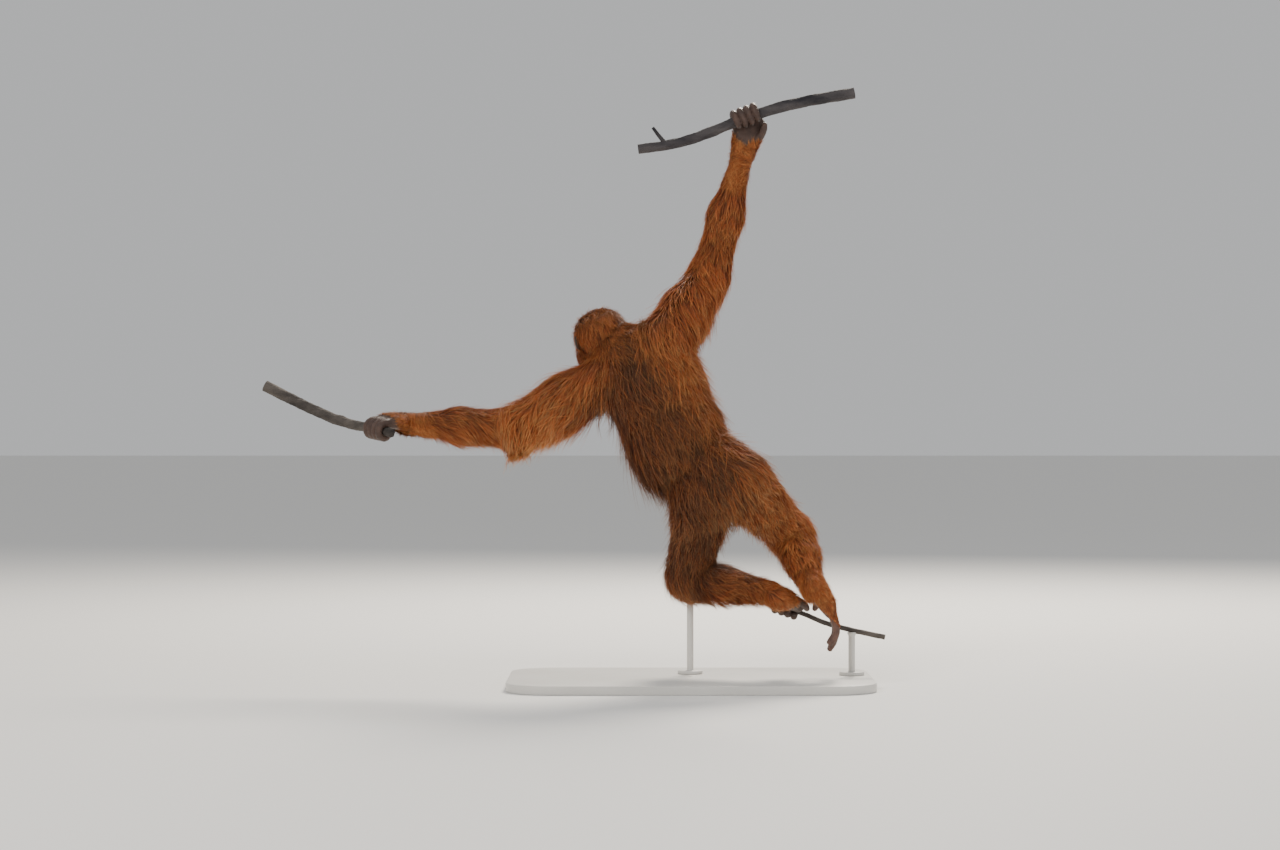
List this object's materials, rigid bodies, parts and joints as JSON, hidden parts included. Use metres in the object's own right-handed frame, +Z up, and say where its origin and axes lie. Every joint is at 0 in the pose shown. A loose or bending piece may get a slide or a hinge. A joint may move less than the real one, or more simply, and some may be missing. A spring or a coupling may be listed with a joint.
{
  "type": "orangutan",
  "caption": "Life-size still model of an adult orangutan stretched between cut branches on a plain display stand.",
  "frame": {"origin": "centre of the underside of the display stand's base", "axes": "+Z up, +X to the right in the main view, which looks along +Y at the animal's back"},
  "size_m": [1.7184, 0.6, 1.6316],
  "materials": {
    "coat": "long shaggy rust-orange hair",
    "skin": "bare dark skin",
    "eye": "wet brown eye",
    "bark": "weathered bark",
    "stand": "satin paint on wood"
  },
  "bodies": {
    "root": {"head": "coat", "neck": "coat", "torso": "coat", "hips": "coat", "upper_arm_left": "coat", "upper_arm_right": "coat", "forearm_left": "coat", "forearm_right": "coat", "hand_left": "skin", "hand_right": "skin", "thigh_left": "coat", "thigh_right": "coat", "shin_left": "coat", "shin_right": "coat", "foot_left": "skin", "foot_right": "skin", "finger_right_1": "skin", "finger_right_2": "skin", "finger_right_3": "skin", "finger_right_4": "skin", "thumb_right": "skin", "finger_left_1": "skin", "finger_left_2": "skin", "finger_left_3": "skin", "finger_left_4": "skin", "thumb_left": "skin", "toe_left_1": "skin", "toe_left_2": "skin", "toe_left_3": "skin", "toe_left_4": "skin", "hallux_left": "skin", "toe_right_1": "skin", "toe_right_2": "skin", "toe_right_3": "skin", "toe_right_4": "skin", "hallux_right": "skin", "eye_right": "eye", "ear_right": "skin", "eye_left": "eye", "ear_left": "skin", "perch_branch": "bark", "perch_vine": "bark", "perch_twig": "bark", "stand_base": "stand", "stand_rod_knee": "stand", "stand_rod_twig": "stand"}
  },
  "joints": []
}
